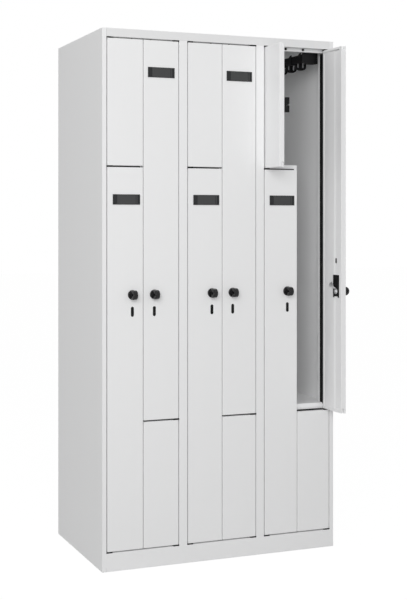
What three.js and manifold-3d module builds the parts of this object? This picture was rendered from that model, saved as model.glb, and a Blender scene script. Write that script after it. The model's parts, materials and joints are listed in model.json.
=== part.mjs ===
// A free-standing clothes locker in folded sheet steel, three bays wide. Each bay holds two
// Z-shaped compartments, and each compartment is closed by one long leaf and one short leaf.
// Millimetres, +Z up, the front faces -Y. The origin lies on the floor, in the middle of the
// width, halfway along the plinth's foot flange.
import * as THREE from 'three';
import { mergeVertices } from 'three/addons/utils/BufferGeometryUtils.js';
import Module from 'manifold-3d';

const wasm = await Module();
wasm.setup();

// Cabinet
const bayCount = 3;
const bayWidth = 300;
const cabinetDepth = 500;
const cabinetHeight = 1850;
const sheet = 0.8;

// Front frame: stiles, top rail and plinth, flush with each other and with the closed leaves
const endStile = 15.5;
const railHeight = 29;
const plinthHeight = 62.5;
const plinthFoot = 30;
const sideFoot = 20;
const rearLip = 20;

// Stop lips behind the leaves and the jambs behind the stiles
const stopDepth = 21.5;
const jambReach = 14;
const jambDepth = 36;
const lipCover = 11;
const railLip = 11.5;
const lipReturn = 11.5;
const seamLip = 10;

// Leaves: folded pans with a dished and ribbed inner skin
const leafThickness = 18.5;
const hingeGap = 3;
const seamGap = 2.5;
const railGap = 4.5;
const plinthGap = 4.5;
const splitGap = 5.5;
const shortLeafHeight = 434;
const freeLip = 15;
const hingeLip = 12;
const grooveWidth = 5;
const grooveDepth = 5;
const ribWidth = 68;
const ribDrop = 0.5;
const dishDepth = 2.5;
const skinSlope = 1.5;
const notchDepth = 11;
const notchHeight = 17;

// Decks: how far each one stands above the lower edge of the leaf in front of it
const deckRise = 18.5;
const shelfRise = 12.5;
const creaseRise = 6.1;
const creaseSlope = 5;

// Pivot pins welded into the leaves, and the tabs that hold them between two leaves
const pinRadius = 2.5;
const pinClearance = 0.1;
const pinInset = 8;
const pinBack = 7;
const pinGrip = 2;
const pinTipGap = 0.4;
const tabReach = 19;
const tabDepth = 11.5;
const tabFront = 1.5;
const tabThickness = 2;

// Locks in the long leaves: knob and spindle, window in the inner skin, and two slots
const knobBelowMiddle = 1.75;
const knobFromFreeEdge = 39.35;
const knobRadius = 16.7;
const knobBase = 5;
const knobBevel = 1.5;
const knobReach = 35.2;
const wingWidth = 15;
const wingRadius = 15;
const spindleRadius = 4;
const spindleClearance = 0.6;
const windowWidth = 43.5;
const windowAbove = 59;
const windowBelow = 23;
const slotWidth = 9.8;
const outerSlotLength = 33.5;
const outerSlotDrop = 58;
const innerSlotLength = 20;
const innerSlotRise = 110;

// Cam: a cranked arm that ends in a sickle hook. Unlocked, it leans from upright towards the hinge,
// and a quarter turn of the knob swings it down behind the upright's lip. Angles in degrees.
const camGap = 2.2;
const camThickness = 2;
const camReach = 38;
const camShoulder = 2.5;
const camBand = 9;
const camArm = 10;
const camHub = 10;
const camCrank = 8;
const camLeanAngle = 25;
const camHookAngle = 30;
const camScrewRadius = 5;
const camScrewHead = 2;

// Small fittings on the leaves
const fitGap = 0.3;
const labelWidth = 99.5;
const labelHeight = 35;
const labelThickness = 2;
const labelRim = 2;
const labelRecess = 0.8;
const labelDrop = 110.4;
const labelShift = 4.6;
const catchWidth = 12;
const catchHeight = 52;
const catchBase = 10;
const catchReach = 21;
const catchWaist = 6;
const catchEdge = 3;
const catchNoseRadius = 2;

// Hook rails under the ceilings: drops are measured down from the ceiling
const hookCount = 3;
const hookPitch = 70;
const hookStart = 91;
const spineWidth = 14;
const spineDrop = 65;
const shieldFront = 36;
const shieldThickness = 4;
const shieldWidth = 65;
const shieldTopDrop = 30;
const shieldSideDrop = 77.5;
const shieldMiddleDrop = 82;
const clipWidth = 17;
const clipDepth = 21;
const clipCrown = 8.5;
const clipTopDrop = 30.5;
const clipShoulderDrop = 37.5;
const clipBottomDrop = 68;
const hookThickness = 8;
const hookSpan = 45;
const hookTipDrop = 70;
const hookBowDrop = 81.5;
const hookBowDepth = 13.5;
const hookGap = 8.6;
const hookStem = 12;

// How far the two open leaves of the last bay stand open, in degrees
const shortLeafAngle = 92;
const longLeafAngle = 90.5;

// How far a cutting tool runs past the face it cuts, and how finely round pieces are made
const overrun = 1;
const pinSides = 12;
const knobSides = 20;
const arcSteps = 6;

// Places worked out from the sizes above
const cabinetWidth = bayCount * bayWidth;
const leftSide = -cabinetWidth / 2;
const front = -plinthFoot / 2;
const rear = front + cabinetDepth;
const backFace = rear - 2 * sheet;
const stopFace = front + stopDepth;
const jambBack = stopFace + jambDepth;
const topInside = cabinetHeight - sheet;
const railBottom = cabinetHeight - railHeight;
const leafWidth = (bayWidth - 2 * endStile - 2 * hingeGap - seamGap) / 2;
const leafTop = railBottom - railGap;
const leafBottom = plinthHeight + plinthGap;
const upperSplit = leafTop - shortLeafHeight;
const lowerSplit = leafBottom + shortLeafHeight;
const floorTop = leafBottom + deckRise;
const shelfTop = upperSplit + shelfRise;
const ledgeTop = lowerSplit + splitGap + deckRise;
const shelfBottom = upperSplit - splitGap - lipCover;
const ledgeBottom = lowerSplit - lipCover;
const jambTop = railBottom - railLip;
const pinFromBay = endStile + hingeGap + pinInset;
const pinY = front + pinBack;
const knobU = leafWidth - knobFromFreeEdge;
const knobHeight = (lowerSplit + upperSplit) / 2 - knobBelowMiddle;
const camFront = stopDepth + sheet + camGap;
const camSeat = camFront - camCrank;

// Vectors and finishes

const v2 = (x, y) => new THREE.Vector2(x, y);
const xAxis = new THREE.Vector3(1, 0, 0);
const yAxis = new THREE.Vector3(0, 1, 0);
const zAxis = new THREE.Vector3(0, 0, 1);

const coatedSteel = () => new THREE.MeshStandardMaterial({
  color: 0xe2e2e0, roughness: 0.45, metalness: 0, flatShading: true,
});
const blackPlastic = () => new THREE.MeshStandardMaterial({
  color: 0x17181a, roughness: 0.5, metalness: 0, flatShading: true,
});
const greyPlastic = () => new THREE.MeshStandardMaterial({
  color: 0x3f4144, roughness: 0.5, metalness: 0, flatShading: true,
});
const bareSteel = () => new THREE.MeshStandardMaterial({
  color: 0xb9bcc0, roughness: 0.3, metalness: 1, flatShading: true,
});

// Outlines of folded sheet

// The unit vector to the left of the way from one point to the next.
function leftOf(from, to) {
  const way = to.clone().sub(from).normalize();
  return v2(-way.y, way.x);
}

// A corner of a path, moved to the left by a distance, with the corner kept sharp.
function beside(path, index, distance, closed) {
  const count = path.length;
  const before = closed || index > 0 ? path[(index + count - 1) % count] : null;
  const after = closed || index < count - 1 ? path[(index + 1) % count] : null;
  const corner = path[index];
  const sides = [];
  if (before) sides.push(leftOf(before, corner));
  if (after) sides.push(leftOf(corner, after));
  if (sides.length === 1) return corner.clone().addScaledVector(sides[0], distance);
  const share = 1 / (1 + sides[0].dot(sides[1]));
  return corner.clone().addScaledVector(sides[0].add(sides[1]), distance * share);
}

// A strip of sheet bent along a path: the path is its outer face, its thickness lies to the left.
function bent(path) {
  const inner = path.map((_, index) => beside(path, index, sheet, false));
  return new THREE.Shape([...path, ...inner.reverse()]);
}

// A closed outline drawn inwards by one sheet's thickness.
function insideOf(outline) {
  return outline.map((_, index) => beside(outline, index, sheet, true));
}

// Solids

function extruded(shape, depth) {
  return new THREE.ExtrudeGeometry(shape, { depth, bevelEnabled: false, curveSegments: arcSteps });
}

// An outline in x and y, standing from one height to another.
function upright(shape, bottom, top) {
  return extruded(shape, top - bottom).translate(0, 0, bottom);
}

// An outline in y and z, run across from one x to another.
function across(shape, from, to) {
  const turn = new THREE.Matrix4().makeBasis(yAxis, zAxis, xAxis);
  return extruded(shape, to - from).applyMatrix4(turn).translate(from, 0, 0);
}

// An outline in x and z, run back from one y to another.
function backwards(shape, from, to) {
  const turn = new THREE.Matrix4().makeBasis(xAxis, zAxis, yAxis.clone().negate());
  return extruded(shape, to - from).applyMatrix4(turn).translate(0, to, 0);
}

// A plain box between two corners.
function block(x, y, z) {
  const box = new THREE.BoxGeometry(x[1] - x[0], y[1] - y[0], z[1] - z[0]);
  return box.translate((x[0] + x[1]) / 2, (y[0] + y[1]) / 2, (z[0] + z[1]) / 2);
}

// A round post along z, at x and y, between two heights.
function post(radius, sides, x, y, bottom, top) {
  const round = new THREE.CylinderGeometry(radius, radius, top - bottom, sides);
  return round.rotateX(Math.PI / 2).translate(x, y, (bottom + top) / 2);
}

// A round shaft along y, centred on the y axis, that may taper from its back to its front.
function shaft(backRadius, frontRadius, sides, from, to) {
  const round = new THREE.CylinderGeometry(backRadius, frontRadius, to - from, sides);
  return round.translate(0, (from + to) / 2, 0);
}

function solidOf(geometry) {
  const bare = new THREE.BufferGeometry();
  bare.setAttribute('position', geometry.getAttribute('position'));
  bare.setIndex(geometry.getIndex());
  const merged = mergeVertices(bare);
  return new wasm.Manifold(new wasm.Mesh({
    numProp: 3,
    vertProperties: new Float32Array(merged.getAttribute('position').array),
    triVerts: new Uint32Array(merged.getIndex().array),
  }));
}

function geometryOf(solid) {
  const mesh = solid.getMesh();
  const geometry = new THREE.BufferGeometry();
  geometry.setAttribute('position', new THREE.BufferAttribute(mesh.vertProperties, 3));
  geometry.setIndex(new THREE.BufferAttribute(mesh.triVerts, 1));
  return geometry;
}

// Pieces welded into one, with holes cut out of the whole.
function welded(pieces, holes = []) {
  const whole = pieces.map(solidOf).reduce((sum, piece) => sum.add(piece));
  return geometryOf(holes.map(solidOf).reduce((rest, hole) => rest.subtract(hole), whole));
}

// The assembly

const locker = new THREE.Group();

function add(group, name, geometry, material) {
  const mesh = new THREE.Mesh(geometry, material);
  mesh.name = name;
  group.add(mesh);
}

// Bays: where each one starts, and the faces of the panels that bound it

const bays = Array.from({ length: bayCount }, (_, index) => leftSide + index * bayWidth);
const leftWall = (bay) => bays[bay] + (bay === 0 ? sheet : sheet / 2);
const rightWall = (bay) => bays[bay] + bayWidth - (bay === bayCount - 1 ? sheet : sheet / 2);
const seam = (bay) => bays[bay] + bayWidth / 2;

// A hole for a pivot pin, wide enough for the pin's corners.
function pinHole(x, bottom, top) {
  const radius = (pinRadius + pinClearance) / Math.cos(Math.PI / pinSides);
  return post(radius, pinSides, x, pinY, bottom - overrun, top + overrun);
}

// A tab that stands out of a stile between two leaves and holds the pins of both. The side is
// +1 where the tab reaches to the right, and the stile's face is at x.
function pivotTab(x, side, bottom) {
  const ends = [x - side * sheet / 2, x + side * tabReach].sort((a, b) => a - b);
  const y = [front + tabFront, front + tabFront + tabDepth];
  return block(ends, y, [bottom + (splitGap - tabThickness) / 2, bottom + (splitGap + tabThickness) / 2]);
}

// The jamb behind a stile: a stop lip, a return and a rear flange that runs back to the wall.
// It is drawn for a stile to the left of its bay and mirrored for one to the right.
function jamb(stileFace, side, wall) {
  const path = [
    v2(stileFace, stopFace - sheet),
    v2(stileFace, stopFace),
    v2(stileFace + side * jambReach, stopFace),
    v2(stileFace + side * jambReach, jambBack),
    v2(wall, jambBack),
  ];
  return upright(bent(side > 0 ? path : path.reverse()), floorTop, jambTop);
}

// Side panels: back lip, wall, front stile and its return in one sheet, with the jamb welded in

function sidePanel(side) {
  const wall = -side * cabinetWidth / 2;
  const stileFace = wall + side * endStile;
  const path = [
    v2(wall + side * rearLip, rear),
    v2(wall, rear),
    v2(wall, front),
    v2(stileFace, front),
    v2(stileFace, stopFace),
  ];
  const foot = [wall + side * sheet / 2, wall + side * sideFoot].sort((a, b) => a - b);
  const pin = wall + side * pinFromBay;
  const tabBottom = side > 0 ? upperSplit - splitGap : lowerSplit;
  return welded(
    [
      upright(bent(side > 0 ? path : path.reverse()), 0, topInside),
      jamb(stileFace, side, wall + side * sheet / 2),
      block(foot, [front + plinthFoot, backFace], [0, sheet]),
      pivotTab(stileFace, side, tabBottom),
    ],
    [pinHole(pin, tabBottom, tabBottom + splitGap)],
  );
}

add(locker, 'side_left', sidePanel(1), coatedSteel());
add(locker, 'side_right', sidePanel(-1), coatedSteel());

// Partitions: one wall between two bays, a front stile as wide as two end stiles, and two jambs

function partition(x) {
  const stile = [
    v2(x - endStile, stopFace),
    v2(x - endStile, front),
    v2(x + endStile, front),
    v2(x + endStile, stopFace),
  ];
  return welded(
    [
      upright(bent(stile), plinthHeight, railBottom),
      jamb(x + endStile, 1, x),
      jamb(x - endStile, -1, x),
      block([x - sheet / 2, x + sheet / 2], [jambBack - sheet, backFace], [floorTop, topInside]),
      pivotTab(x + endStile, 1, upperSplit - splitGap),
      pivotTab(x - endStile, -1, lowerSplit),
    ],
    [
      pinHole(x + pinFromBay, upperSplit - splitGap, upperSplit),
      pinHole(x - pinFromBay, lowerSplit, lowerSplit + splitGap),
    ],
  );
}

for (let bay = 1; bay < bayCount; bay += 1) {
  add(locker, `partition_${bay}`, partition(bays[bay]), coatedSteel());
}

// Back and top: plain sheets

const innerWidth = [leftSide + sheet, -leftSide - sheet];
const backPanel = block(innerWidth, [backFace, rear - sheet], [0, topInside]);
const topPanel = block([leftSide, -leftSide], [front, rear], [topInside, cabinetHeight]);
add(locker, 'back_panel', backPanel, coatedSteel());
add(locker, 'top_panel', topPanel, coatedSteel());

// Top rail and plinth, with a hole for each leaf's pivot pin

const pinPlaces = bays.flatMap((x) => [x + pinFromBay, x + bayWidth - pinFromBay]);
const frameRun = [leftSide + endStile, -leftSide - endStile];

const railPath = [
  v2(front, topInside),
  v2(front, railBottom),
  v2(stopFace, railBottom),
  v2(stopFace, jambTop),
  v2(stopFace + lipReturn, jambTop),
];
const railHoles = pinPlaces.map((x) => pinHole(x, railBottom, railBottom + sheet));
add(locker, 'top_rail', welded([across(bent(railPath), ...frameRun)], railHoles), coatedSteel());

const plinthPath = [
  v2(stopFace, plinthHeight),
  v2(front, plinthHeight),
  v2(front, 0),
  v2(front + plinthFoot, 0),
];
const plinthHoles = pinPlaces.map((x) => pinHole(x, plinthHeight - sheet, plinthHeight));
add(locker, 'plinth', welded([across(bent(plinthPath), ...frameRun)], plinthHoles), coatedSteel());

// Floor panel with its stop lip folded down onto the plinth

const floorPath = [v2(backFace, floorTop), v2(stopFace, floorTop), v2(stopFace, plinthHeight)];
add(locker, 'floor_panel', across(bent(floorPath), ...innerWidth), coatedSteel());

// Shelves and ledges: half-width decks with a deep front lip that both leaves stop against.
// Each runs from a wall, round the jamb, to the upright in the middle of the bay.

function halfDeck(frontPath, top, wall, middle, side, bay) {
  const stileFace = side > 0 ? bays[bay] + endStile : bays[bay] + bayWidth - endStile;
  const jambFace = stileFace + side * jambReach;
  const spread = (a, b) => [a, b].sort((p, q) => p - q);
  const height = [top - sheet, top];
  return welded([
    across(bent(frontPath), ...spread(jambFace, seam(bay) - side * seamLip)),
    block(spread(jambFace, middle), [stopFace + creaseSlope, jambBack + sheet], height),
    block(spread(wall, middle), [jambBack, backFace], height),
  ]);
}

const shelfPath = [
  v2(jambBack, shelfTop),
  v2(stopFace, shelfTop),
  v2(stopFace, shelfBottom),
  v2(stopFace + lipReturn, shelfBottom),
];
const ledgePath = [
  v2(jambBack, ledgeTop),
  v2(stopFace + creaseSlope, ledgeTop),
  v2(stopFace, lowerSplit + splitGap + creaseRise),
  v2(stopFace, ledgeBottom),
  v2(stopFace + lipReturn, ledgeBottom),
];

// Uprights: a T in plan, whose front lip both long leaves stop against and both cams hook behind

function middleUpright(x) {
  return welded([
    block([x - seamLip, x + seamLip], [stopFace, stopFace + sheet], [ledgeBottom, shelfTop]),
    block([x - sheet / 2, x + sheet / 2], [stopFace, backFace], [ledgeBottom, shelfTop]),
  ]);
}

// Hook rails: a spine under the ceiling that carries a shield with a bowed lower edge in front and
// a row of double hooks behind it. Each hook hangs like an anchor from the back of its clip.

function shieldShape(x, ceiling) {
  const half = shieldWidth / 2;
  const shape = new THREE.Shape();
  shape.moveTo(x + half, ceiling - shieldTopDrop);
  shape.lineTo(x - half, ceiling - shieldTopDrop);
  shape.lineTo(x - half, ceiling - shieldSideDrop);
  const bow = ceiling - 2 * shieldMiddleDrop + shieldSideDrop;
  shape.quadraticCurveTo(x, bow, x + half, ceiling - shieldSideDrop);
  return shape;
}

// The clip from the side: a crown over the spine, and a back that slopes down to its shoulder.
function clipShape(face, ceiling) {
  return new THREE.Shape([
    v2(face, ceiling - clipBottomDrop),
    v2(face + clipDepth, ceiling - clipBottomDrop),
    v2(face + clipDepth, ceiling - clipShoulderDrop),
    v2(face + clipCrown, ceiling - clipTopDrop),
    v2(face, ceiling - clipTopDrop),
  ]);
}

// The anchor: one bow below, a tip at each side, and a gap with a round bottom beside its stem.
function anchorShape(x, ceiling) {
  const tip = ceiling - hookTipDrop;
  const bow = ceiling - hookBowDrop;
  const stemTop = ceiling - (clipShoulderDrop + clipBottomDrop) / 2;
  const middle = (hookStem + hookGap) / 2;
  const shape = new THREE.Shape();
  shape.moveTo(x - hookSpan / 2, tip);
  shape.absellipse(x, bow, hookSpan / 2, hookBowDepth, Math.PI, 2 * Math.PI, false);
  shape.lineTo(x + hookSpan / 2, tip);
  shape.lineTo(x + middle + hookGap / 2, tip);
  shape.absarc(x + middle, bow, hookGap / 2, 0, Math.PI, true);
  shape.lineTo(x + hookStem / 2, stemTop);
  shape.lineTo(x - hookStem / 2, stemTop);
  shape.absarc(x - middle, bow, hookGap / 2, 0, Math.PI, true);
  shape.lineTo(x - middle - hookGap / 2, tip);
  return shape;
}

function hookRail(x, ceiling) {
  const shieldFace = front + shieldFront;
  const faces = Array.from({ length: hookCount }, (_, index) => front + hookStart + index * hookPitch);
  const spine = [x - spineWidth / 2, x + spineWidth / 2];
  const spineEnd = faces[hookCount - 1] + clipDepth;
  return welded([
    block(spine, [shieldFace, spineEnd], [ceiling - spineDrop, ceiling]),
    backwards(shieldShape(x, ceiling), shieldFace, shieldFace + shieldThickness),
    ...faces.map((face) => across(clipShape(face, ceiling), x - clipWidth / 2, x + clipWidth / 2)),
    ...faces.map((face) => {
      const back = face + clipDepth;
      return backwards(anchorShape(x, ceiling), back - hookThickness, back);
    }),
  ]);
}

bays.forEach((_, bay) => {
  const number = bay + 1;
  const leftOfSeam = seam(bay) - sheet / 2;
  const rightOfSeam = seam(bay) + sheet / 2;
  const shelf = halfDeck(shelfPath, shelfTop, leftWall(bay), leftOfSeam, 1, bay);
  const ledge = halfDeck(ledgePath, ledgeTop, rightWall(bay), rightOfSeam, -1, bay);
  add(locker, `shelf_${number}`, shelf, coatedSteel());
  add(locker, `ledge_${number}`, ledge, coatedSteel());
  add(locker, `upright_${number}`, middleUpright(seam(bay)), coatedSteel());
  const upperMiddle = (rightOfSeam + rightWall(bay)) / 2;
  const lowerMiddle = (leftWall(bay) + leftOfSeam) / 2;
  add(locker, `hook_rail_upper_${number}`, hookRail(upperMiddle, topInside), blackPlastic());
  add(locker, `hook_rail_lower_${number}`, hookRail(lowerMiddle, shelfTop - sheet), blackPlastic());
});

// Leaves. Each is drawn closed in its own frame, whose z axis is its pivot pins' axis. Along u it
// runs from its hinge edge to its free edge and along v from its outer face back. The hand is +1
// for a leaf hinged on its left and -1 for one hinged on its right.

const leafSection = [
  v2(0, 0),
  v2(leafWidth, 0),
  v2(leafWidth, leafThickness),
  v2(leafWidth - freeLip, leafThickness),
  v2(leafWidth - freeLip - skinSlope, leafThickness - dishDepth),
  v2(hingeLip + grooveWidth + ribWidth + 2 * skinSlope, leafThickness - dishDepth),
  v2(hingeLip + grooveWidth + ribWidth + skinSlope, leafThickness - ribDrop),
  v2(hingeLip + grooveWidth + skinSlope, leafThickness - ribDrop),
  v2(hingeLip + grooveWidth, leafThickness - grooveDepth),
  v2(hingeLip, leafThickness - grooveDepth),
  v2(hingeLip, leafThickness),
  v2(0, leafThickness),
];

const alongLeaf = (hand, u) => hand * (u - pinInset);
const intoLeaf = (v) => v - pinBack;
const placed = (hand, outline) => outline.map((point) => v2(alongLeaf(hand, point.x), intoLeaf(point.y)));

// A box in the leaf's u and v, and between two heights.
function leafBlock(hand, u, v, z) {
  const x = u.map((value) => alongLeaf(hand, value)).sort((a, b) => a - b);
  return block(x, v.map(intoLeaf), z);
}

// A slot with round ends, upright, cut from one v to another.
function slot(hand, u, height, width, length, v) {
  const x = alongLeaf(hand, u);
  const straight = (length - width) / 2;
  const shape = new THREE.Shape();
  shape.absarc(x, height + straight, width / 2, 0, Math.PI, false);
  shape.absarc(x, height - straight, width / 2, Math.PI, 2 * Math.PI, false);
  return backwards(shape, ...v.map(intoLeaf));
}

// The cuts that a long leaf has for its lock.
function lockCuts(hand) {
  const outerSkin = [-overrun, sheet + overrun];
  const innerSkin = [leafThickness - dishDepth - sheet - overrun, leafThickness + overrun];
  const spindleHole = spindleRadius + spindleClearance;
  const x = alongLeaf(hand, knobU);
  const hole = shaft(spindleHole, spindleHole, pinSides, ...outerSkin.map(intoLeaf));
  return [
    hole.translate(x, 0, knobHeight),
    leafBlock(hand, [knobU - windowWidth / 2, knobU + windowWidth / 2], innerSkin,
      [knobHeight - windowBelow, knobHeight + windowAbove]),
    slot(hand, knobU, knobHeight - outerSlotDrop, slotWidth, outerSlotLength, outerSkin),
    slot(hand, knobU, knobHeight + innerSlotRise, slotWidth, innerSlotLength, innerSkin),
  ];
}

// How far a leaf's pins reach, where they end in the frame and where they end in a tab.
const framePin = railGap + sheet + pinGrip;
const tabPin = (splitGap - pinTipGap) / 2;

function leafBody(hand, bottom, top, locked) {
  const notch = [leafThickness - notchDepth, leafThickness - sheet];
  const edge = [leafWidth - 2 * sheet, leafWidth + overrun];
  const lowerPin = bottom === leafBottom ? framePin : tabPin;
  const upperPin = top === leafTop ? framePin : tabPin;
  return welded(
    [
      geometryOf(
        solidOf(upright(new THREE.Shape(placed(hand, leafSection)), bottom, top)).subtract(
          solidOf(upright(new THREE.Shape(placed(hand, insideOf(leafSection))), bottom + sheet, top - sheet)),
        ),
      ),
      post(pinRadius, pinSides, 0, 0, bottom - lowerPin, bottom + sheet),
      post(pinRadius, pinSides, 0, 0, top - sheet, top + upperPin),
    ],
    [
      leafBlock(hand, edge, notch, [top - notchHeight, top + overrun]),
      leafBlock(hand, edge, notch, [bottom - overrun, bottom + notchHeight]),
      ...(locked ? lockCuts(hand) : []),
    ],
  );
}

// Label holder: a tray with a low rim, on the outer face.
function labelHolder(hand, u, height) {
  const outside = [-fitGap - labelThickness, -fitGap];
  const tray = [outside[0] - overrun, outside[0] + labelRecess];
  const spread = (middle, size) => [middle - size / 2, middle + size / 2];
  return welded(
    [leafBlock(hand, spread(u, labelWidth), outside, spread(height, labelHeight))],
    [leafBlock(hand, spread(u, labelWidth - 2 * labelRim), tray, spread(height, labelHeight - 2 * labelRim))],
  );
}

// Catch: a base and two jaws with a waist and a round nose between them, on the free edge's lip.
function leafCatch(hand, middle) {
  const u = [leafWidth - catchEdge - catchWidth, leafWidth - catchEdge];
  const base = leafThickness + fitGap;
  const jaw = [base + catchBase - sheet, leafThickness + catchReach];
  const low = middle - catchHeight / 2;
  const high = middle + catchHeight / 2;
  const nose = shaft(catchNoseRadius, catchNoseRadius, pinSides, ...[jaw[0], jaw[1]].map(intoLeaf));
  return welded([
    leafBlock(hand, u, [base, base + catchBase], [low, high]),
    leafBlock(hand, u, jaw, [low, middle - catchWaist / 2]),
    leafBlock(hand, u, jaw, [middle + catchWaist / 2, high]),
    nose.translate(alongLeaf(hand, (u[0] + u[1]) / 2), 0, middle),
  ]);
}

// Knob: a bevelled round base with an upright wing, and the spindle through the leaf. It is drawn
// about its own turning axis, with y = 0 on the leaf's outer face.
function knob() {
  const back = -fitGap;
  const face = back - knobBase;
  const wing = new THREE.Shape();
  wing.moveTo(face + sheet, -wingRadius);
  wing.lineTo(face + sheet, wingRadius);
  wing.lineTo(-knobReach + wingRadius, wingRadius);
  wing.absarc(-knobReach + wingRadius, 0, wingRadius, Math.PI / 2, 3 * Math.PI / 2, false);
  return welded([
    shaft(knobRadius, knobRadius, knobSides, face + knobBevel, back),
    shaft(knobRadius, knobRadius - knobBevel, knobSides, face, face + knobBevel),
    across(wing, -wingWidth / 2, wingWidth / 2),
    shaft(spindleRadius, spindleRadius, pinSides, back - sheet, camSeat - fitGap),
  ]);
}

// Cam: hub, cranked arm and sickle, drawn unlocked. Angles start at the side of the free edge.
function cam(hand) {
  const turned = (angle) => (hand > 0 ? angle : Math.PI - angle);
  const lean = Math.PI / 2 + THREE.MathUtils.degToRad(camLeanAngle);
  const root = turned(lean);
  const tip = turned(lean + THREE.MathUtils.degToRad(camHookAngle));
  const sickle = new THREE.Shape();
  sickle.absarc(0, 0, camReach, root, tip, hand < 0);
  sickle.absarc(0, 0, camReach - camBand, tip, root, hand > 0);
  const armEnd = camReach - camShoulder;
  const arm = new THREE.Shape([
    v2(0, camSeat),
    v2(camHub, camSeat),
    v2(camHub + camCrank, camFront),
    v2(armEnd, camFront),
    v2(armEnd, camFront + camThickness),
    v2(camHub + camCrank, camFront + camThickness),
    v2(camHub, camSeat + camThickness),
    v2(0, camSeat + camThickness),
  ]);
  return welded([
    shaft(camHub, camHub, knobSides, camSeat, camSeat + camThickness),
    upright(arm, -camArm / 2, camArm / 2).rotateY(-root),
    backwards(sickle, camFront, camFront + camThickness),
    shaft(camScrewRadius, camScrewRadius, pinSides, camSeat, camSeat + camThickness + camScrewHead),
  ]);
}

// Each leaf hangs in a group that stands on its pivot axis and turns to its rest angle.

function hangLeaf(bay, hand, name, bottom, top, open) {
  const group = new THREE.Group();
  group.position.set(hand > 0 ? bays[bay] + pinFromBay : bays[bay] + bayWidth - pinFromBay, pinY, 0);
  group.rotation.z = -hand * THREE.MathUtils.degToRad(open);
  locker.add(group);
  const body = leafBody(hand, bottom, top, top - bottom > shortLeafHeight);
  add(group, `${name}_${bay + 1}`, body, coatedSteel());
  return group;
}

function hangLongLeaf(bay, hand, level, bottom, top, open, shift) {
  const group = hangLeaf(bay, hand, `${level}_long_leaf`, bottom, top, open);
  const number = bay + 1;
  const label = labelHolder(hand, leafWidth / 2 + shift, top - labelDrop);
  add(group, `label_holder_${level}_${number}`, label, greyPlastic());
  const lock = new THREE.Group();
  lock.position.set(alongLeaf(hand, knobU), intoLeaf(0), knobHeight);
  group.add(lock);
  add(lock, `knob_${level}_${number}`, knob(), blackPlastic());
  add(lock, `cam_${level}_${number}`, cam(hand), bareSteel());
}

function hangShortLeaf(bay, hand, level, bottom, top, open) {
  const group = hangLeaf(bay, hand, `${level}_short_leaf`, bottom, top, open);
  add(group, `catch_${level}_${bay + 1}`, leafCatch(hand, (bottom + top) / 2), blackPlastic());
}

bays.forEach((_, bay) => {
  const last = bay === bayCount - 1;
  hangShortLeaf(bay, 1, 'upper', upperSplit, leafTop, last ? shortLeafAngle : 0);
  hangLongLeaf(bay, -1, 'upper', lowerSplit + splitGap, leafTop, last ? longLeafAngle : 0, 0);
  hangLongLeaf(bay, 1, 'lower', leafBottom, upperSplit - splitGap, 0, labelShift);
  hangShortLeaf(bay, -1, 'lower', leafBottom, lowerSplit, 0);
});

export default locker;
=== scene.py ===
import json
import math

import bmesh
import bpy
import numpy as np
from mathutils import Matrix, Vector


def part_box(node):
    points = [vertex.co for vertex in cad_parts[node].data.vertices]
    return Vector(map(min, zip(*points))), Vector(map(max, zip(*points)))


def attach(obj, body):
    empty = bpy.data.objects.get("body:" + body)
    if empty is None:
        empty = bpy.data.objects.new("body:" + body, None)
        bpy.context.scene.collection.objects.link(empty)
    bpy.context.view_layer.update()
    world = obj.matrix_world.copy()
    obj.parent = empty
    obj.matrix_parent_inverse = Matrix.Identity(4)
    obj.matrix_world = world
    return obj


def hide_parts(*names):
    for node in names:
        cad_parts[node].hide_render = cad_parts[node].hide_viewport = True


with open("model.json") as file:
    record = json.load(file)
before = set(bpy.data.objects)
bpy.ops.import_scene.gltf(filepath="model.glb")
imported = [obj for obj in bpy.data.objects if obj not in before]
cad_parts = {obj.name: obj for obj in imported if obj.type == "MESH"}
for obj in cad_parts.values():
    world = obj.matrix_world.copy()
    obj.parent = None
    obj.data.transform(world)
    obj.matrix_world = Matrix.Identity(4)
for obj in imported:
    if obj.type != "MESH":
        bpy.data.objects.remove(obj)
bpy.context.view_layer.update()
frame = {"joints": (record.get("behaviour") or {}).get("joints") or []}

# The camera stands to the left of the locker at chest height and looks level, so uprights stay
# upright. The shift only brings the locker into the middle of the upright picture.
camera_place = (-1.715, -3.5566, 1.2002)
camera_tilt = math.radians(90)
camera_turn = math.radians(20.074)
camera_lens = 66.53
camera_sensor = 36
camera_shift = (0.1552, -0.1352)

lens = bpy.data.cameras.new("camera")
lens.lens = camera_lens
lens.sensor_width = camera_sensor
lens.shift_x, lens.shift_y = camera_shift
camera = bpy.data.objects.new("camera", lens)
camera.location = camera_place
camera.rotation_euler = (camera_tilt, 0, -camera_turn)
bpy.context.scene.collection.objects.link(camera)
bpy.context.scene.camera = camera
bpy.context.scene.view_settings.view_transform = "Standard"


# The studio: an even pale surround, a large soft lamp in front, above head height and to the left,
# and a plain floor. The eye sees surround and floor white, and the floor keeps a faint shadow.
surround_light = 0.52
lamp_place = (-2.1, -3.8, 2.3)
lamp_aim = (0.0, 0.0, 1.0)
lamp_size = 2.5
lamp_power = 96
floor_size = 40.0
floor_grey = (0.42, 0.42, 0.42, 1)
floor_shadow = 0.07
floor_shine = 1.03
floor_drop = 0.0004
white = (1, 1, 1, 1)


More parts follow.
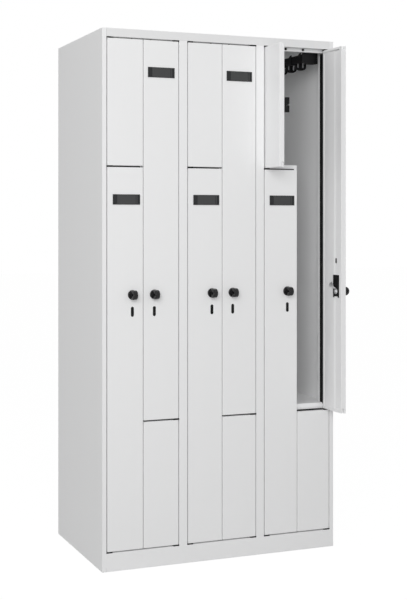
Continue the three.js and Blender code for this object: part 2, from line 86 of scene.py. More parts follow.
class Shade:
    """A socket in a tree of shader nodes. Arithmetic on shades adds Math nodes to their tree."""

    def __init__(self, tree, socket):
        self.tree = tree
        self.socket = socket

    def math(self, operation, *values):
        return self.tree.node("ShaderNodeMath", {"operation": operation}, dict(enumerate(values)))

    def __add__(self, other):
        return self.math("ADD", self, other)

    def __sub__(self, other):
        return self.math("SUBTRACT", self, other)

    def __rsub__(self, other):
        return self.math("SUBTRACT", other, self)

    def __mul__(self, other):
        return self.math("MULTIPLY", self, other)

    def __abs__(self):
        return self.math("ABSOLUTE", self)

    def highest(self, other):
        return self.math("MAXIMUM", self, other)

    def lowest(self, other):
        return self.math("MINIMUM", self, other)

    __radd__ = __add__
    __rmul__ = __mul__


class Tree:
    """The shader nodes of a material or of the surround."""

    def __init__(self, owner):
        owner.use_nodes = True
        self.nodes = owner.node_tree.nodes
        self.links = owner.node_tree.links
        self.nodes.clear()

    def node(self, kind, settings=None, inputs=None, output=0):
        """Adds a node: its settings are set first, then its sockets get their values or links."""
        made = self.nodes.new(kind)
        for name, value in (settings or {}).items():
            setattr(made, name, value)
        for name, value in (inputs or {}).items():
            if isinstance(value, Shade):
                self.links.new(value.socket, made.inputs[name])
            else:
                made.inputs[name].default_value = value
        return Shade(self, made.outputs[output]) if made.outputs else made

    def mix(self, share, low, high):
        """A colour that goes from one to another with a share. Both are sockets 6 and 7 of the
        Mix node, and the colour it makes is its output 2."""
        return self.node("ShaderNodeMix", {"data_type": "RGBA"}, {0: share, 6: low, 7: high}, 2)


def seen_directly(tree):
    """1 for what the eye, a reflection or a clear body shows, and 0 for light on its way."""
    path = "ShaderNodeLightPath"
    return (tree.node(path, output="Is Camera Ray")
            .highest(tree.node(path, output="Is Glossy Ray"))
            .highest(tree.node(path, output="Is Transmission Ray")))


surround = bpy.data.worlds.new("surround")
bpy.context.scene.world = surround
tree = Tree(surround)
strength = seen_directly(tree) * (1 - surround_light) + surround_light
glow = tree.node("ShaderNodeBackground", None, {"Color": white, "Strength": strength})
tree.node("ShaderNodeOutputWorld", None, {"Surface": glow})

lamp = bpy.data.lights.new("lamp", "AREA")
lamp.size = lamp_size
lamp.energy = lamp_power
lamp_object = bpy.data.objects.new("lamp", lamp)
lamp_object.location = lamp_place
lamp_object.rotation_euler = (Vector(lamp_aim) - Vector(lamp_place)).to_track_quat("-Z", "Y").to_euler()
bpy.context.scene.collection.objects.link(lamp_object)

floor_paint = bpy.data.materials.new("floor")
tree = Tree(floor_paint)
seen = seen_directly(tree)
matt = tree.node("ShaderNodeBsdfDiffuse", None, {"Color": tree.mix(seen, floor_grey, white)})
shine = tree.node("ShaderNodeEmission", None, {"Color": white, "Strength": floor_shine})
mixed = tree.node("ShaderNodeMixShader", None, {0: seen * (1 - floor_shadow), 1: matt, 2: shine})
tree.node("ShaderNodeOutputMaterial", None, {"Surface": mixed})

half = floor_size / 2
floor_mesh = bpy.data.meshes.new("floor")
floor_mesh.from_pydata([(-half, -half, -floor_drop), (half, -half, -floor_drop), (half, half, -floor_drop),
                        (-half, half, -floor_drop)], [], [(0, 1, 2, 3)])
floor_mesh.materials.append(floor_paint)
floor = bpy.data.objects.new("floor", floor_mesh)
bpy.context.scene.collection.objects.link(floor)


# Side panels: one sheet each, folded into a rear lip, the wall, the front stile and its return.
# The jamb behind the stile is a second folded sheet, spot-welded on. All of it is powder-coated.
sheet = 0.0008
bend_radius = 0.0011
bend_steps = 5
flat_guard = 0.0003
crease_angle = math.radians(35)
bevel_steps = 3

bays = range(1, 4)
side_low, side_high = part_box("side_left")
left, front, rear, top_inside = side_low.x, side_low.y, side_high.y, side_high.z
bay_width = -2 * left / len(bays)
back_face = rear - 2 * sheet
end_stile = 0.0155
side_foot = 0.020
rear_lip = 0.020
stop_depth = 0.0215
jamb_reach = 0.014
jamb_depth = 0.036
stile_weld = 0.002
stop_face = front + stop_depth
weld_line = stop_face - stile_weld
jamb_back = stop_face + jamb_depth
jamb_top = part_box("top_rail")[0].z
floor_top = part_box("floor_panel")[1].z
plinth_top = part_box("plinth")[1].z
cabinet_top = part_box("top_panel")[1].z

rail_height = 0.029
rail_gap = 0.0045
plinth_gap = 0.0045
split_gap = 0.0055
short_leaf_height = 0.434
rail_bottom = cabinet_top - rail_height
leaf_top = rail_bottom - rail_gap
leaf_bottom = plinth_top + plinth_gap
upper_split = leaf_top - short_leaf_height
lower_split = leaf_bottom + short_leaf_height
tab_reach = 0.019
tab_depth = 0.0115
tab_front = 0.0015
tab_thickness = 0.002

coat_colour = np.array((0.93, 0.932, 0.935))
coat_shift = 0.012
coat_roughness = (0.35, 0.45)
coat_refraction = 1.5
coat_patches = (35, 3.0)
coat_waves = (7, 1.0)
coat_wave_depth = 0.0006
coat_grain = (1100, 2.0)
coat_grain_depth = 0.00004


class Finish(Tree):
    """A material with one Principled shader and the record's slot that it belongs to."""

    def __init__(self, name, slot, settings):
        self.material = bpy.data.materials.new(name)
        self.slot = slot
        super().__init__(self.material)
        self.place = self.node("ShaderNodeTexCoord", output="Object")
        shader = self.node("ShaderNodeBsdfPrincipled", None, settings)
        self.sockets = shader.socket.node.inputs
        self.node("ShaderNodeOutputMaterial", None, {"Surface": shader})

    def feed(self, socket, shade):
        self.links.new(shade.socket, self.sockets[socket])

    def along(self, axis):
        """The place along one axis, in metres."""
        return self.node("ShaderNodeSeparateXYZ", None, {0: self.place}, axis)

    def noise(self, scale, detail, place=None):
        """Cloudy noise from 0 to 1, with a number of spots to the metre and of finer layers."""
        inputs = {"Vector": place or self.place, "Scale": scale, "Detail": detail}
        return self.node("ShaderNodeTexNoise", None, inputs)

    def vary(self, share, colours, roughness):
        """Colour and roughness that go from their first to their second value with a share."""
        low, high = ((*colour, 1) for colour in colours)
        self.feed("Base Color", self.mix(share, low, high))
        self.feed("Roughness", share * (roughness[1] - roughness[0]) + roughness[0])

    def relief(self, *layers):
        """Bumps laid on each other, each a height from 0 to 1 and its depth in metres."""
        normal = None
        for height, depth in layers:
            inputs = {"Height": height, "Distance": depth, "Strength": 1.0}
            if normal:
                inputs["Normal"] = normal
            normal = self.node("ShaderNodeBump", None, inputs)
        self.feed("Normal", normal)


def powder_coat(name, colour, marks=None):
    """Thermoset powder on sheet steel: a fine orange peel over the sheet's slow waves."""
    finish = Finish(name, "coated_steel", {"IOR": coat_refraction})
    finish.vary(finish.noise(*coat_patches), (colour * (1 - coat_shift), colour), coat_roughness)
    layers = [(finish.noise(*coat_waves), coat_wave_depth), (finish.noise(*coat_grain), coat_grain_depth)]
    finish.relief(*layers, *(marks(finish) if marks else ()))
    return finish


coated_steel = powder_coat("powder_coat", coat_colour)


def folded(corners):
    """The middle line of a sheet whose right-hand face goes through the corners.

    Each corner is first moved half a sheet to the left, by the sum of both sides' normals over
    one plus their product. Then it gives way to an arc that touches both sides, with one more
    point just before and after the arc. Returns the points and the normals to their left.
    """
    corners = np.asarray(corners, float)
    ways = np.diff(corners, axis=0)
    ways /= np.linalg.norm(ways, axis=1)[:, None]
    lefts = np.stack([-ways[:, 1], ways[:, 0]], 1)
    before = np.vstack([lefts[:1], lefts])
    after = np.vstack([lefts, lefts[-1:]])
    joined = (before + after) / (1 + (before * after).sum(1))[:, None]
    middle = corners + joined * sheet / 2
    points, normals = [middle[0]], [lefts[0]]
    for index in range(1, len(middle) - 1):
        way, left_of = ways[index - 1], lefts[index - 1]
        turn = math.atan2(left_of @ ways[index], way @ ways[index])
        side = math.copysign(1, turn)
        start = middle[index] - way * bend_radius * math.tan(abs(turn) / 2)
        angles = np.linspace(0, abs(turn), bend_steps + 1)[:, None]
        arc = start + bend_radius * (way * np.sin(angles) + side * left_of * (1 - np.cos(angles)))
        arc_normals = left_of * np.cos(angles) - side * way * np.sin(angles)
        points += [start - way * flat_guard, *arc, arc[-1] + ways[index] * flat_guard]
        normals += [left_of, *arc_normals, lefts[index]]
    points.append(middle[-1])
    normals.append(lefts[-1])
    return np.array(points), np.array(normals)


def laid(first, second, third, way):
    """Coordinates of a section and of its run, put in the order of x, y and z.

    upright: x, y and a run along z. across: y, z and a run along x. backwards: x, z and a run
    along y.
    """
    order = {"upright": (first, second, third), "across": (third, first, second),
             "backwards": (first, third, second)}
    return np.stack(np.broadcast_arrays(*order[way]), -1).reshape(-1, 3)


def carried(ring, run, way):
    """A closed outline carried straight along its run: the points of both ends, each in the
    outline's order, and a wall between them for each of its sides."""
    points = laid(ring[None, :, 0], ring[None, :, 1], np.array(sorted(run))[:, None], way)
    count = len(ring)
    around = np.arange(count)
    ahead = (around + 1) % count
    return points, np.stack([around, ahead, ahead + count, around + count], 1)


def strip(corners, run, way):
    """A sheet bent along corners and carried straight from one end of the run to the other.

    The section is the right face, then the left face backwards. Both ends are closed with a
    quad for each step of the section.
    """
    line, normals = folded(corners)
    count = len(line)
    ring = np.vstack([line - normals * sheet / 2, (line + normals * sheet / 2)[::-1]])
    points, walls = carried(ring, run, way)
    step = np.arange(count - 1)
    cap = np.stack([step, step + 1, 2 * count - 2 - step, 2 * count - 1 - step], 1)
    return points, np.vstack([walls, cap, cap + 2 * count])


def plate(x, y, z):
    """A plain piece of sheet between two places on each axis: its eight corners and six faces."""
    points = np.stack(np.meshgrid(sorted(x), sorted(y), sorted(z), indexing="ij"), -1).reshape(-1, 3)
    return points, [(0, 1, 3, 2), (4, 6, 7, 5), (0, 4, 5, 1), (2, 3, 7, 6), (0, 2, 6, 4), (1, 5, 7, 3)]


def about(middle, half):
    """The two places at a distance from a middle, one on each side."""
    return middle - half, middle + half


def mesh_of(name, shells):
    """One mesh from closed shells, each an array of points and its faces, turned outwards."""
    points, faces = [], []
    for shell_points, shell_faces in shells:
        count = len(points)
        points += shell_points.tolist()
        faces += [[int(corner) + count for corner in face] for face in shell_faces]
    mesh = bpy.data.meshes.new(name)
    mesh.from_pydata(points, [], faces)
    turned_out = bmesh.new()
    turned_out.from_mesh(mesh)
    bmesh.ops.recalc_face_normals(turned_out, faces=turned_out.faces)
    turned_out.to_mesh(mesh)
    turned_out.free()
    return mesh


def round_edges(piece, width):
    """Rounds the creases of a piece with a bevel."""
    rounding = piece.modifiers.new("rounded_edges", "BEVEL")
    rounding.width = width
    rounding.segments = bevel_steps
    rounding.limit_method = "ANGLE"
    rounding.angle_limit = crease_angle
    rounding.harden_normals = True


def dress(name, mesh, finish, body, replaced=(), bevel=0.0):
    """Makes a mesh a piece of the locker: finish, shading, body and the CAD nodes it stands for."""
    piece = bpy.data.objects.new(name, mesh)
    bpy.context.scene.collection.objects.link(piece)
    mesh.materials.clear()
    mesh.materials.append(finish.material)
    mesh.shade_smooth()
    if bevel:
        round_edges(piece, bevel)
    else:
        mesh.set_sharp_from_angle(angle=crease_angle)
    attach(piece, body)
    if replaced:
        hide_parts(*replaced)


def dress_folded(name, shells, finish=coated_steel):
    """Makes folded sheets a piece of the carcass, in place of the CAD node of that name."""
    dress(name + "_folded", mesh_of(name, shells), finish, "carcass", [name])


def jamb(stile, side, wall):
    """The jamb behind a stile: stop lip, reveal and a rear flange that runs to the wall."""
    reveal = stile + side * jamb_reach
    corners = [(stile, weld_line), (stile, stop_face), (reveal, stop_face), (reveal, jamb_back),
               (wall, jamb_back)]
    return strip(corners[::side], (floor_top, jamb_top), "upright")


def pivot_tab(stile, side, low):
    """The steel tab between two leaves, which holds the pins of both."""
    depth = (front + tab_front, front + tab_front + tab_depth)
    height = about(low + split_gap / 2, tab_thickness / 2)
    return plate((stile - side * sheet / 2, stile + side * tab_reach), depth, height)


for name, side in (("side_left", 1), ("side_right", -1)):
    wall = side * left
    stile = wall + side * end_stile
    corners = [(wall + side * rear_lip, rear), (wall, rear), (wall, front), (stile, front),
               (stile, weld_line)]
    foot = (wall + side * sheet, wall + side * side_foot)
    dress_folded(name, [
        strip(corners[::side], (0, top_inside), "upright"),
        jamb(stile, side, wall + side * sheet / 2),
        plate(foot, (front + 2 * end_stile, back_face), (0, sheet)),
        pivot_tab(stile, side, upper_split - split_gap if side > 0 else lower_split),
    ])


# Partitions: a front stile as wide as two end stiles, folded back on both sides, a jamb on each
# side of it and one wall from the jambs to the back.
for index in range(1, len(bays)):
    middle = left + index * bay_width
    low, high = about(middle, end_stile)
    corners = [(low, weld_line), (low, front), (high, front), (high, weld_line)]
    dress_folded(f"partition_{index}", [
        strip(corners, (plinth_top, rail_bottom), "upright"),
        jamb(high, 1, middle),
        jamb(low, -1, middle),
        plate(about(middle, sheet / 2), (jamb_back, back_face), (floor_top, top_inside)),
        pivot_tab(high, 1, upper_split - split_gap),
        pivot_tab(low, -1, lower_split),
    ])


# Back and top: flat sheets, laid in and on the sides and spot-welded. The weld marks are shallow
# dimples, in a row up each side of the back and in one behind each partition.
weld_columns = (bay_width / 2, -left - rear_lip / 2)
weld_pitch = 0.15
weld_radius = 0.004
weld_depth = 0.0004
sheet_edge = sheet / 4


def weld_marks(finish):
    """Round dimples in upright rows. A mark is 1 in its middle and falls with the square of the
    way from there over the square of its radius."""
    across = abs(finish.along("X"))
    to_column = abs(across - weld_columns[0]).lowest(abs(across - weld_columns[1]))
    up = finish.along("Z")
    to_row = up.math("WRAP", up, weld_pitch / 2, -weld_pitch / 2)
    mark = 1 - (to_column * to_column + to_row * to_row) * (1 / weld_radius ** 2)
    return [(1 - mark.highest(0), weld_depth)]


welded_coat = powder_coat("welded_coat", coat_colour, weld_marks)
for name, finish in (("back_panel", welded_coat), ("top_panel", coated_steel)):
    mesh = mesh_of(name, [plate(*zip(*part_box(name)))])
    dress(name + "_sheet", mesh, finish, "carcass", [name], sheet_edge)


# Top rail, plinth and floor panel: each folded from one sheet and welded between the sides. The
# rail ends in the lip that the leaves stop against. Its coat is darkened as painted shade.
rail_lip_return = 0.0115
rail_painted_shade = 0.91
plinth_foot = 0.030
frame_run = (left + end_stile, -left - end_stile)
floor_run = (left + sheet, -left - sheet)
rail_line = [(front, top_inside), (front, rail_bottom), (stop_face, rail_bottom), (stop_face, jamb_top),
             (stop_face + rail_lip_return, jamb_top)]
plinth_line = [(stop_face, plinth_top), (front, plinth_top), (front, 0), (front + plinth_foot, 0)]
floor_line = [(back_face, floor_top), (stop_face, floor_top), (stop_face, plinth_top)]
# The rail's darker coat is painted shade: its tone is a tenth lower to stand for the shade at the top of
# the front.
rail_shaded_coat = powder_coat("rail_shaded_coat", coat_colour * rail_painted_shade)
dress_folded("top_rail", [strip(rail_line, frame_run, "across")], rail_shaded_coat)
dress_folded("plinth", [strip(plinth_line, frame_run, "across")])
dress_folded("floor_panel", [strip(floor_line, floor_run, "across")])


# Decks and uprights: half-width shelves and ledges with a deep front lip, notched round the
# jambs, and the upright between both compartments of a bay, whose lip both long leaves meet.
seam_lip = 0.010
lip_return = 0.0115
crease_slope = 0.005
crease_rise = 0.0061
shelf_bottom, shelf_top = (corner.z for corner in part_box("shelf_1"))
ledge_bottom, ledge_top = (corner.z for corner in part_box("ledge_1"))


def half_deck(front_corners, top, wall, middle, side, stile):
    """A deck from a wall to the middle of its bay, with its front lip from jamb to upright."""
    reveal = stile + side * jamb_reach
    height = (top - sheet, top)
    lip_end = middle - side * seam_lip
    return [
        strip(front_corners, (reveal, lip_end), "across"),
        plate((lip_end, middle), (stop_face + crease_slope, back_face), height),
        plate((wall, reveal), (jamb_back, back_face), height),
    ]


shelf_corners = [(back_face, shelf_top), (stop_face, shelf_top), (stop_face, shelf_bottom),
                 (stop_face + lip_return, shelf_bottom)]
ledge_corners = [(back_face, ledge_top), (stop_face + crease_slope, ledge_top),
                 (stop_face, lower_split + split_gap + crease_rise), (stop_face, ledge_bottom),
                 (stop_face + lip_return, ledge_bottom)]


class Bay:
    """The places across one bay: its seam in the middle, both stiles and its outer walls."""

    def __init__(self, number):
        start, end = left + (number - 1) * bay_width, left + number * bay_width
        self.number = number
        self.seam = (start + end) / 2
        self.left_wall = start + (sheet if number == 1 else sheet / 2)
        self.right_wall = end - (sheet if number == len(bays) else sheet / 2)
        self.stiles = {1: start + end_stile, -1: end - end_stile}


for bay in map(Bay, bays):
    near, far = about(bay.seam, sheet / 2)
    height = (ledge_bottom, shelf_top)
    shelf = half_deck(shelf_corners, shelf_top, bay.left_wall, near, 1, bay.stiles[1])
    ledge = half_deck(ledge_corners, ledge_top, bay.right_wall, far, -1, bay.stiles[-1])
    upright = [
        plate(about(bay.seam, seam_lip), (stop_face, stop_face + sheet), height),
        plate((near, far), (stop_face + sheet, back_face), height),
    ]
    for kind, shells in (("shelf", shelf), ("ledge", ledge), ("upright", upright)):
        dress_folded(f"{kind}_{bay.number}", shells)


# Black mouldings on the frame: rubber buffers on the stop lips, a strip along each hinge-side jamb
# of a long leaf, a pivot bush round each pin, and a bar on the lip behind the gap of two leaves.
black_colours = ((0.0045, 0.0045, 0.0048), (0.0085, 0.0085, 0.009))
black_roughness = (0.36, 0.48)
black_gloss = 0.16
mould_refraction = 1.47
mould_patches = (140, 3.0)
mould_grain = (1500, 1.0)
mould_grain_depth = 0.00003
buffer_radius = 0.0046
buffer_thick = 0.0027
buffer_edge = 0.00115
buffer_shift = 0.0355
buffer_rise = 0.0075
strip_front = 0.0006
strip_depth = 0.0222
strip_thick = 0.0012
strip_edge = 0.0004
strip_end = 0.001
strip_notch = 0.004
bush_length = 0.022
bush_front = 0.0001
bush_depth = 0.0135
bush_clear = 0.0002
bush_edge = 0.0002
bar_front = 0.0125
bar_height = 0.0041
bar_rise = 0.00035
bar_inset = 0.005
round_edge = 0.0006
edge_steps = 3
dome_steps = 4
turned_sides = 24
merge_digits = 7
least_length = 1e-12
leaf_low, leaf_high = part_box("upper_short_leaf_1")
leaf_width = leaf_high.x - leaf_low.x
hinge_gap = 0.003


def moulded(name, slot, colours, roughness, gloss):
    """Injection-moulded plastic with a fine spark-eroded grain."""
    finish = Finish(name, slot, {"IOR": mould_refraction, "Specular IOR Level": gloss})
    finish.vary(finish.noise(*mould_patches), colours, roughness)
    finish.relief((finish.noise(*mould_grain), mould_grain_depth))
    return finish


black_plastic = moulded("black_moulding", "black_plastic", black_colours, black_roughness, black_gloss)


def bend_lines(radius, shares):
    """Places in from a round corner's edge: the radius times 1 minus the tangent of a share of
    45 degrees. Drawn in to the arc, they bend it in equal steps."""
    return radius * (1 - np.tan(np.radians(45) * shares))


def round_ended(low, high, radius, middle=()):
    """Grid lines from low to high: bend lines at both ends, one more line beside each that
    guards the flat, and the lines between them."""
    ends = np.append(bend_lines(radius, np.linspace(1, 0, edge_steps + 1)), radius + flat_guard)
    return np.concatenate([low + ends, np.sort(np.asarray(middle, float)), high - ends[::-1]])


def box_grid(xs, ys, zs):
    """The six faces of a box as grids over three sets of grid lines, welded at its edges."""
    lines = (xs, ys, zs)
    points, faces, count = [], [], 0
    for axis in range(3):
        second, third = (axis + 1) % 3, (axis + 2) % 3
        a, b = np.meshgrid(lines[second], lines[third], indexing="ij")
        index = np.arange(a.size).reshape(a.shape)
        quads = np.stack([index[:-1, :-1], index[1:, :-1], index[1:, 1:], index[:-1, 1:]], -1)
        for end in (0, -1):
            grid = np.empty((a.size, 3))
            grid[:, axis] = lines[axis][end]
            grid[:, second] = a.ravel()
            grid[:, third] = b.ravel()
            points.append(grid)
            faces.append(quads.reshape(-1, 4) + count)
            count += a.size
    points, faces = np.vstack(points), np.vstack(faces)
    places = np.round(points, merge_digits)
    _, first, same = np.unique(places, axis=0, return_index=True, return_inverse=True)
    return points[first], same.ravel()[faces]


def rounded(points, low, high, radius):
    """Points of a box's faces, drawn in to round edges: a point goes to the nearest point of the
    box shrunk by the radius, plus the radius times the way from there to where it was."""
    core = np.clip(points, np.array(low) + radius, np.array(high) - radius)
    way = points - core
    length = np.linalg.norm(way, axis=1)[:, None]
    return np.where(length > 0, core + radius * way / np.maximum(length, least_length), points)


def rounded_block(x, y, z, radius=round_edge):
    """A block with round edges between two places on each axis."""
    low, high = np.array([sorted(x), sorted(y), sorted(z)]).T
    points, faces = box_grid(*(round_ended(a, b, radius) for a, b in zip(low, high)))
    return rounded(points, low, high, radius), faces


def turned(profile, centre, sides=turned_sides):
    """A profile of radius and depth turned about an axis that runs back through the centre.

    Each ring is the profile's radius times the cosine and sine of equal angles. The profile
    starts and ends on the axis, and its first and last rings close to one point each.
    """
    profile = np.asarray(profile, float)
    angles = 2 * np.pi * np.arange(sides) / sides
    first = centre[0] + profile[1:-1, :1] * np.cos(angles)
    second = centre[1] + profile[1:-1, :1] * np.sin(angles)
    rings = laid(first, second, profile[1:-1, 1:], "backwards")
    poles = laid(np.full(2, centre[0]), np.full(2, centre[1]), profile[[0, -1], 1], "backwards")
    index = np.arange(len(rings)).reshape(-1, sides)
    ahead = np.roll(index, -1, axis=1)
    faces = np.stack([index[:-1], ahead[:-1], ahead[1:], index[1:]], -1).reshape(-1, 4).tolist()
    start, end = len(rings), len(rings) + 1
    faces += [[start, a, b] for a, b in zip(ahead[0], index[0])]
    faces += [[end, a, b] for a, b in zip(index[-1], ahead[-1])]
    return np.vstack([rings, poles]), faces


def arc_points(centre, radii, start, end, steps):
    """Points at equal angles on a circle or an ellipse: its centre plus the radius, or the one
    of each axis, times cosine and sine."""
    turn = np.linspace(start, end, steps + 1)
    return np.array(centre) + np.array(radii) * np.stack([np.cos(turn), np.sin(turn)], 1)


def domed(radius, base, height, edge):
    """A profile from base to height whose outer edge is a quarter circle of its own radius."""
    fall = math.copysign(edge, height)
    corner = arc_points((radius - edge, base + height - fall), (edge, fall), 0, np.pi / 2, dome_steps)
    return [(0, base), (radius, base), *corner, (0, base + height)]


def dress_trim(name, shell):
    """Makes a black moulding that no CAD node stands for a piece of the carcass."""
    dress(name, mesh_of(name, [shell]), black_plastic, "carcass")


for bay in map(Bay, bays):
    lips = {"top": jamb_top + buffer_rise, "bottom": floor_top - buffer_radius - buffer_rise}
    profile = domed(buffer_radius, stop_face, -buffer_thick, buffer_edge)
    for level, height in lips.items():
        for side, word in ((-1, "left"), (1, "right")):
            shell = turned(profile, (bay.seam + side * buffer_shift, height))
            dress_trim(f"buffer_{level}_{word}_{bay.number}", shell)
    runs = {1: (floor_top + strip_end, shelf_bottom - split_gap),
            -1: (ledge_top - strip_notch, jamb_top - strip_end)}
    splits = {1: upper_split - split_gap, -1: lower_split}
    for side, word in ((1, "left"), (-1, "right")):
        stile = bay.stiles[side]
        reveal = stile + side * jamb_reach
        depth = (stop_face + strip_front, stop_face + strip_depth)
        block = rounded_block((reveal, reveal + side * strip_thick), depth, runs[side], strip_edge)
        dress_trim(f"jamb_strip_{word}_{bay.number}", block)
        gaps = {
            "top": (leaf_top + bush_clear, rail_bottom),
            "middle": (splits[side] + bush_clear, splits[side] + split_gap - bush_clear),
            "bottom": (plinth_top, leaf_bottom - bush_clear),
        }
        depth = (front + bush_front, front + bush_depth)
        for level, height in gaps.items():
            block = rounded_block((stile, stile + side * bush_length), depth, height, bush_edge)
            dress_trim(f"pivot_bush_{word}_{level}_{bay.number}", block)
        bar_start, bar_end = bush_length + bush_clear, hinge_gap + leaf_width - bar_inset
        bar_low = splits[side] + bar_rise
        block = rounded_block((stile + side * bar_start, stile + side * bar_end),
                              (front + bar_front, stop_face), (bar_low, bar_low + bar_height))
        dress_trim(f"gap_bar_{word}_{bay.number}", block)


# Leaves: an outer pan folded round an inner skin with a pressed rib, a groove at the hinge side
# and a dished panel between the lips. Pins are welded into both ends, and all of it is coated.
leaf_thickness = leaf_high.y - leaf_low.y
fold_radius = 0.0013
hinge_bow = 0.009
bow_steps = 4
hinge_lip = 0.012
free_lip = 0.015
groove_wall = 0.0007
groove_width = 0.005
groove_depth = 0.005
rib_width = 0.062
rib_drop = 0.0005
dish_slope = 0.0075
dish_depth = 0.0025
press_slope = 0.0015
press_steps = 4
end_lip = 0.0115
seam_width = 0.0032
seam_depth = 0.0090
hem_line = 0.0040
hem_width = 0.0009
hem_depth = 0.0004
notch_depth = 0.011
notch_height = 0.017
notch_cut = 0.008
pin_inset = 0.008
pin_back = 0.007
cut_overrun = 0.001
skin_reach = 0.00003
far_off = 1.0

knob_height = 0.940
knob_u = leaf_width - 0.03935
window_half = 0.02175
window_low, window_high = knob_height - 0.023, knob_height + 0.059
window_pocket = 0.012
slot_width = 0.0098
slot_cut = 0.0025
slot_steps = 8
outer_slot_height = knob_height - 0.058
outer_slot_length = 0.0335
inner_slot_height = knob_height + 0.110
inner_slot_length = 0.020
skin = leaf_thickness - dish_depth
relief_marks = np.cumsum([hinge_lip, groove_wall, groove_width - groove_wall, press_slope, rib_width,
                          dish_slope]).tolist()
relief_marks += [leaf_width - free_lip - press_slope, leaf_width - free_lip]
relief_depths = [0, groove_depth, groove_depth, rib_drop, rib_drop, dish_depth, dish_depth, 0]


def eased(share):
    """A share from 0 to 1 that starts and ends softly: three squares less two cubes."""
    share = np.clip(share, 0, 1)
    return share * share * (3 - 2 * share)


def pressed(u, z, bottom, top):
    """How deep the inner skin lies below the lips: the steps at the marks across the leaf, each
    eased, times an easing that ends them at both end lips, and the open seam along the top lip.
    The seam is its depth times an easing of twice the share of its half width from its edge."""
    depth = np.zeros_like(u)
    for a, b, start, end in zip(relief_marks, relief_marks[1:], relief_depths, relief_depths[1:]):
        depth += (end - start) * eased((u - a) / (b - a))
    from_end = np.minimum(z - bottom, top - z) - end_lip
    seam = seam_depth * eased(2 * (1 - np.abs(2 * from_end / seam_width + 1)))
    between = (u > relief_marks[3]) & (u < relief_marks[-1]) & (top - z < z - bottom)
    return np.maximum(depth * eased(from_end / press_slope), seam * between)


def spread_lines(*spans):
    """Grid lines at equal steps inside each span."""
    return np.concatenate([np.linspace(a, b, press_steps + 1) for a, b in spans])


def stadium(u, height, width, length):
    """The outline of an upright slot with round ends: two half circles, a straight apart."""
    straight = (length - width) / 2
    upper = arc_points((u, height + straight), width / 2, 0, np.pi, slot_steps)
    return np.vstack([upper, 2 * np.array([u, height]) - upper])


def prism(outline, run, way):
    """An outline carried straight along its run, closed at both ends with one face each."""
    points, walls = carried(np.asarray(outline, float), run, way)
    start, end = np.arange(len(points)).reshape(2, -1).tolist()
    return points, [*walls.tolist(), start, end[::-1]]


def cut(mesh, cutters, bevel=0.0):
    """The mesh, its edges rounded first, less the volume of all cutters by the exact boolean."""
    whole = bpy.data.objects.new("whole", mesh)
    tool = bpy.data.objects.new("tool", mesh_of("tool", cutters))
    for thing in (whole, tool):
        bpy.context.scene.collection.objects.link(thing)
    if bevel:
        round_edges(whole, bevel)
    boolean = whole.modifiers.new("cut", "BOOLEAN")
    boolean.solver = "EXACT"
    boolean.object = tool
    result = bpy.data.meshes.new_from_object(whole.evaluated_get(bpy.context.evaluated_depsgraph_get()))
    bpy.data.objects.remove(whole)
    bpy.data.objects.remove(tool)
    return result


def bowed(points, shaped, bottom, top):
    """Bends the inner corner at the hinge edge round a wider arc.

    A point there goes to its own direction from the arc's centre, as far out as the greater of its
    two distances from it, and its reach and height are rounded like those of the other edges.
    """
    centre = np.array([hinge_bow, leaf_thickness - hinge_bow])
    there = (points[:, 0] < centre[0]) & (points[:, 1] > centre[1])
    way = points[there, :2] - centre
    reach = np.abs(way).max(1)
    section = np.stack([reach, 0 * reach, points[there, 2]], 1)
    section = rounded(section, (-far_off, -far_off, bottom), (hinge_bow, far_off, top), fold_radius)
    shaped[there, :2] = centre + way / np.linalg.norm(way, axis=1)[:, None] * section[:, :1]
    shaped[there, 2] = section[:, 2]


outer_slot = stadium(knob_u, outer_slot_height, slot_width, outer_slot_length)
inner_slot = stadium(knob_u, inner_slot_height, slot_width, inner_slot_length)


def leaf_mesh(bottom, top, locked):
    """A leaf in its own frame: u from the hinge edge, v from the outer face back, z upright.

    It is a box with round edges and grid lines at all its marks. Its inner face is pressed in, and
    the hem drawn in at the free edge. Notches, window and slots are cut out of it at the end.
    """
    bow_lines = bend_lines(hinge_bow, np.arange(bow_steps) / bow_steps)
    marks = [relief_marks[start:start + 2] for start in range(0, len(relief_marks), 2)]
    us = round_ended(0, leaf_width, fold_radius, np.concatenate([bow_lines, spread_lines(*marks)]))
    hem_lines = [hem_line, hem_line + hem_width / 2, hem_line + hem_width]
    vs = round_ended(0, leaf_thickness, fold_radius,
                     [*hem_lines, leaf_thickness / 2, *(leaf_thickness - bow_lines)])
    lip_lines = spread_lines((end_lip - seam_width, end_lip),
                             (end_lip + press_slope / 4, end_lip + press_slope))
    zs = round_ended(bottom, top, fold_radius, np.concatenate([bottom + lip_lines, top - lip_lines]))
    points, faces = box_grid(us, vs, zs)
    on_skin = points[:, 1] > leaf_thickness - skin_reach
    in_hem = np.abs(points[:, 1] - hem_lines[1]) < hem_width / 4
    in_hem &= points[:, 0] > leaf_width - flat_guard
    shaped = rounded(points, (0, 0, bottom), (leaf_width, leaf_thickness, top), fold_radius)
    bowed(points, shaped, bottom, top)
    shaped[on_skin, 1] -= pressed(points[on_skin, 0], points[on_skin, 2], bottom, top)
    shaped[in_hem, 0] -= hem_depth
    notch_u = (leaf_width - notch_cut, leaf_width + cut_overrun)
    notch_v = (leaf_thickness - notch_depth, leaf_thickness - sheet)
    inner_end = leaf_thickness + cut_overrun
    cutters = [
        plate(notch_u, notch_v, (top - notch_height, top + cut_overrun)),
        plate(notch_u, notch_v, (bottom - cut_overrun, bottom + notch_height)),
    ]
    if locked:
        cutters += [
            prism(outer_slot, (-cut_overrun, slot_cut), "backwards"),
            prism(inner_slot, (skin - slot_cut, inner_end), "backwards"),
            plate(about(knob_u, window_half), (leaf_thickness - window_pocket, inner_end),
                  (window_low, window_high)),
        ]
    return cut(mesh_of("leaf", [(shaped, faces)]), cutters)


